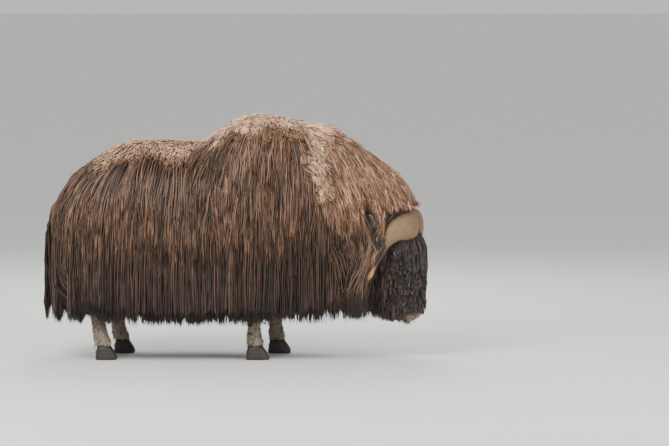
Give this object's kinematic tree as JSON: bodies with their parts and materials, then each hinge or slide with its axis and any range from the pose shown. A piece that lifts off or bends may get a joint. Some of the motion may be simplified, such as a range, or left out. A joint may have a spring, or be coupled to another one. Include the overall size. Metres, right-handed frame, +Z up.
{
  "type": "muskox",
  "caption": "Life-size still model of a standing muskox with its head lowered to drink, in a long hanging coat with a pale saddle.",
  "frame": {"origin": "centre of the whole animal's footprint, on the floor under its hooves", "axes": "+X forward, the way the animal faces; +Y its left; +Z up"},
  "size_m": [2.2016, 0.7748, 1.3568],
  "materials": {
    "coat": "long coarse brown guard hair",
    "mane": "wavy tan-brown mane",
    "face_hair": "short blackish face and throat hair",
    "leg_hair": "short pale leg hair",
    "horn": "dry ridged horn with pale tips",
    "hoof": "dark dull hoof horn",
    "eye": "wet dark brown eye"
  },
  "bodies": {
    "root": {"torso_right": "coat", "torso_left": "coat", "hindquarters_right": "coat", "hindquarters_left": "coat", "tail": "coat", "neck_right": "mane", "neck_left": "mane", "head": "face_hair", "ear_right": "face_hair", "ear_left": "face_hair", "horn_right": "horn", "horn_left": "horn", "eye_right": "eye", "eye_left": "eye", "foreleg_right": "leg_hair", "foreleg_left": "leg_hair", "hindleg_right": "leg_hair", "hindleg_left": "leg_hair", "hoof_fore_right": "hoof", "hoof_fore_left": "hoof", "hoof_hind_right": "hoof", "hoof_hind_left": "hoof"}
  },
  "joints": []
}
